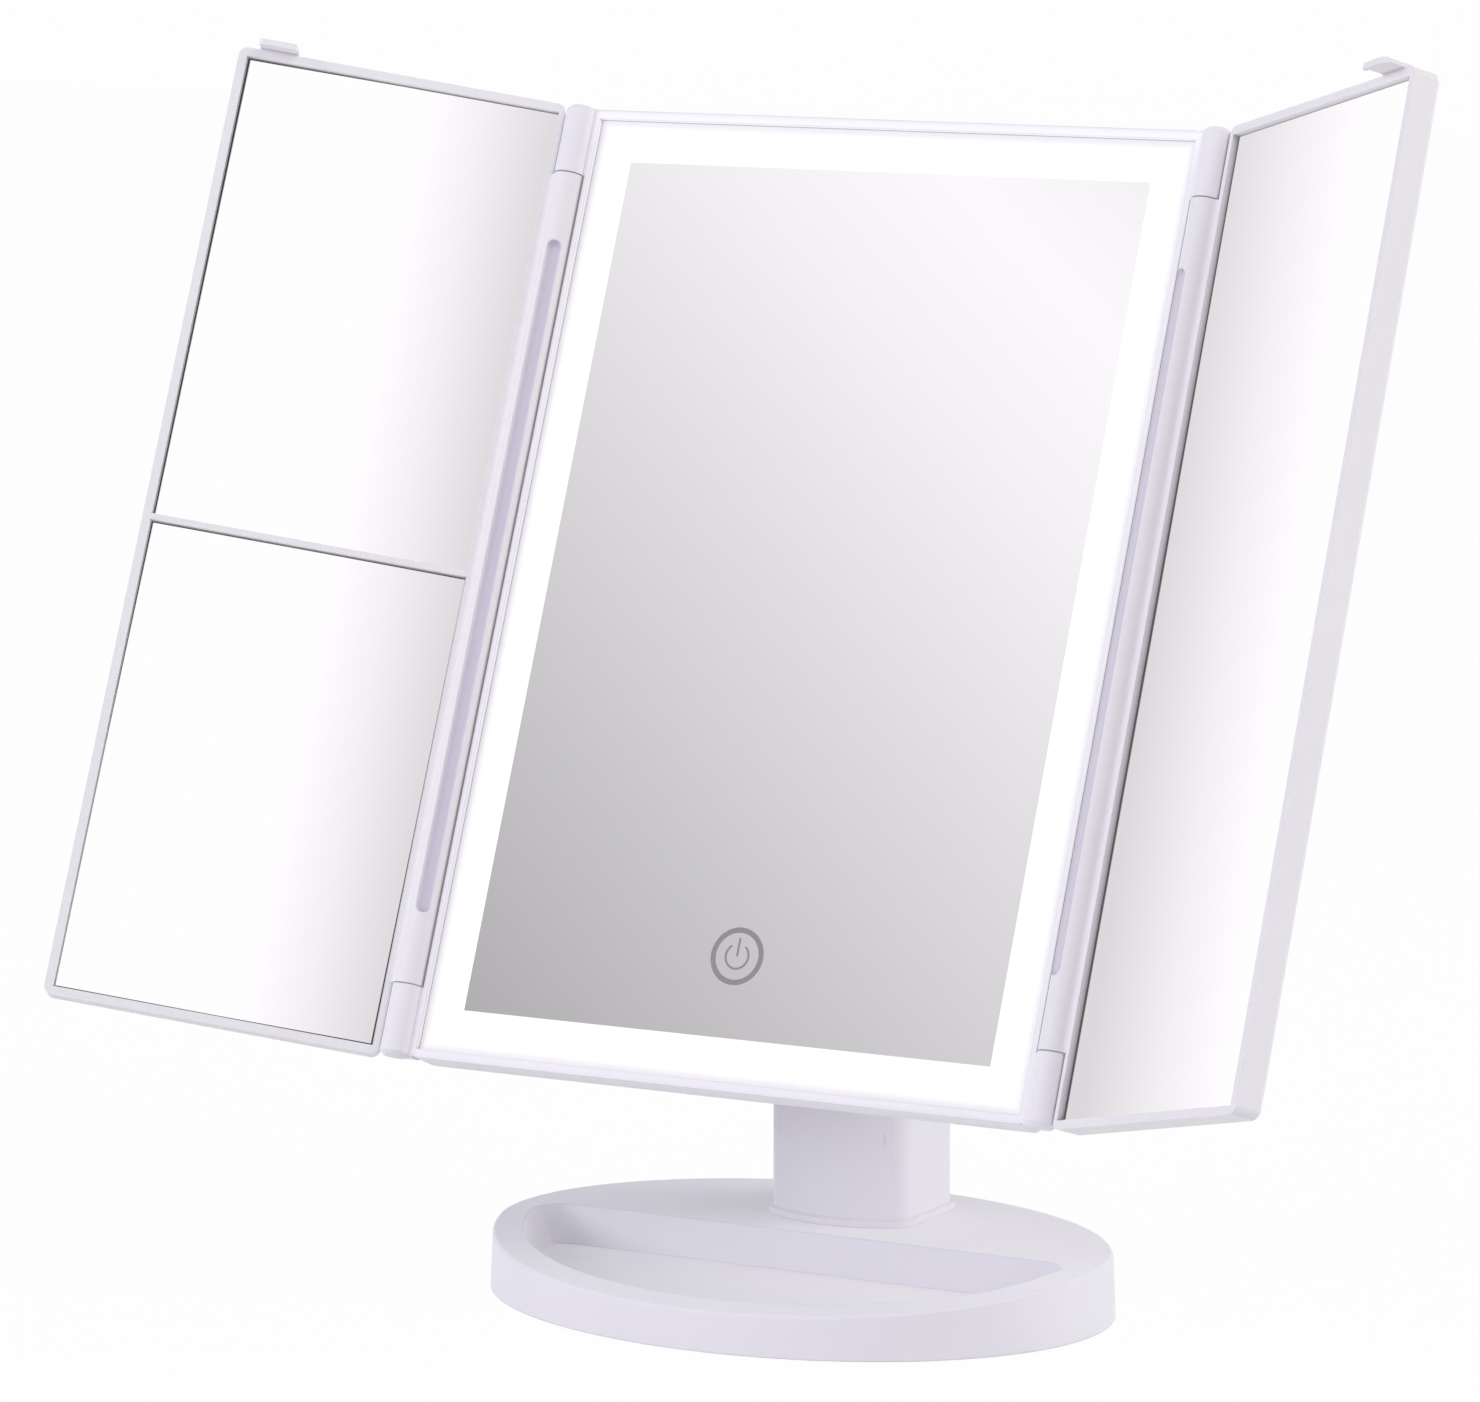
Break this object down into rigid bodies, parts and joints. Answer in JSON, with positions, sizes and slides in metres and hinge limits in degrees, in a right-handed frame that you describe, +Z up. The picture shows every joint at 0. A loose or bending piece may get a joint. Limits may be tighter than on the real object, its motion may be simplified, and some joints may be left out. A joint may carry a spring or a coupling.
{
  "type": "trifold vanity mirror",
  "caption": "Lighted folding vanity mirror: tilting centre panel with a lit border, two folding mirror wings, battery post and an oval tray base.",
  "frame": {"origin": "centre of the oval base, on the underside of its non-slip pad", "axes": "+Z up, -Y towards the user, +X to the viewer's right when facing the mirror"},
  "size_m": [0.3255, 0.1506, 0.302],
  "materials": {
    "white_shell": "satin gloss injection-moulded ABS, cool white",
    "opal_plastic": "opal light-diffusing acrylic, softly lit",
    "silver_mirror": "silvered flat glass, polished",
    "steel": "zinc-plated steel",
    "inner_plastic": "moulded plastic, unpainted",
    "circuit_board": "white solder mask on fibreglass",
    "led_package": "surface-mount LED with phosphor",
    "contact_metal": "nickel-plated spring steel",
    "cell_jacket": "plain printed film on AAA cells, no lettering",
    "foam_tape": "white closed-cell foam tape",
    "pad_rubber": "soft non-slip pad, light grey",
    "dark_plastic": "black moulded plastic"
  },
  "bodies": {
    "stand": {"base_shell": "white_shell", "base_bottom_cover": "inner_plastic", "anti_slip_pad": "pad_rubber", "base_ballast": "steel", "base_cover_screws": "steel", "post_screws": "steel", "post_shell": "white_shell", "post_rear_cover": "white_shell", "rear_cover_screws": "steel", "battery_tray": "inner_plastic", "batteries": "cell_jacket", "battery_contacts": "contact_metal", "tilt_bolt": "steel", "tilt_nut": "steel", "friction_washers": "steel", "tilt_caps": "white_shell", "power_board": "circuit_board", "usb_socket": "contact_metal", "power_switch_body": "dark_plastic"},
    "panel": {"panel_frame": "white_shell", "wing_hinge_pins": "steel", "panel_rear_cover": "white_shell", "panel_screws": "steel", "light_diffuser": "opal_plastic", "center_mirror": "silver_mirror", "led_boards": "circuit_board", "led_chips": "led_package", "touch_sensor_pad": "contact_metal", "touch_contact": "foam_tape", "control_board": "circuit_board"},
    "left_wing": {"left_wing_frame": "white_shell", "left_upper_mirror": "silver_mirror", "left_lower_mirror": "silver_mirror", "left_mirror_tape": "foam_tape"},
    "right_wing": {"right_wing_frame": "white_shell", "right_mirror": "silver_mirror", "right_mirror_tape": "foam_tape"},
    "power_switch": {"power_switch_knob": "dark_plastic"},
    "battery_lid": {"battery_door": "white_shell"}
  },
  "joints": [
    {"name": "panel_tilt", "type": "hinge", "parent": "stand", "child": "panel", "pos_m": [0, 0.02845, 0.1586], "axis": [-1, 0, 0], "range_deg": [-22.4, 67.6]},
    {"name": "left_wing_fold", "type": "hinge", "parent": "panel", "child": "left_wing", "pos_m": [-0.0862, 0.00062, 0.17007], "axis": [0, 0.3811, 0.9245], "range_deg": [-27.2, 152.8]},
    {"name": "right_wing_fold", "type": "hinge", "parent": "panel", "child": "right_wing", "pos_m": [0.0862, 0.00062, 0.17007], "axis": [0, -0.3811, -0.9245], "range_deg": [-36.4, 143.6]},
    {"name": "power_switch_slide", "type": "slide", "parent": "stand", "child": "power_switch", "axis": [1, 0, 0], "range_m": [0, 0.0025]},
    {"name": "battery_door_lift", "type": "slide", "parent": "stand", "child": "battery_lid", "axis": [0, 1, 0], "range_m": [0, 0.012]}
  ]
}
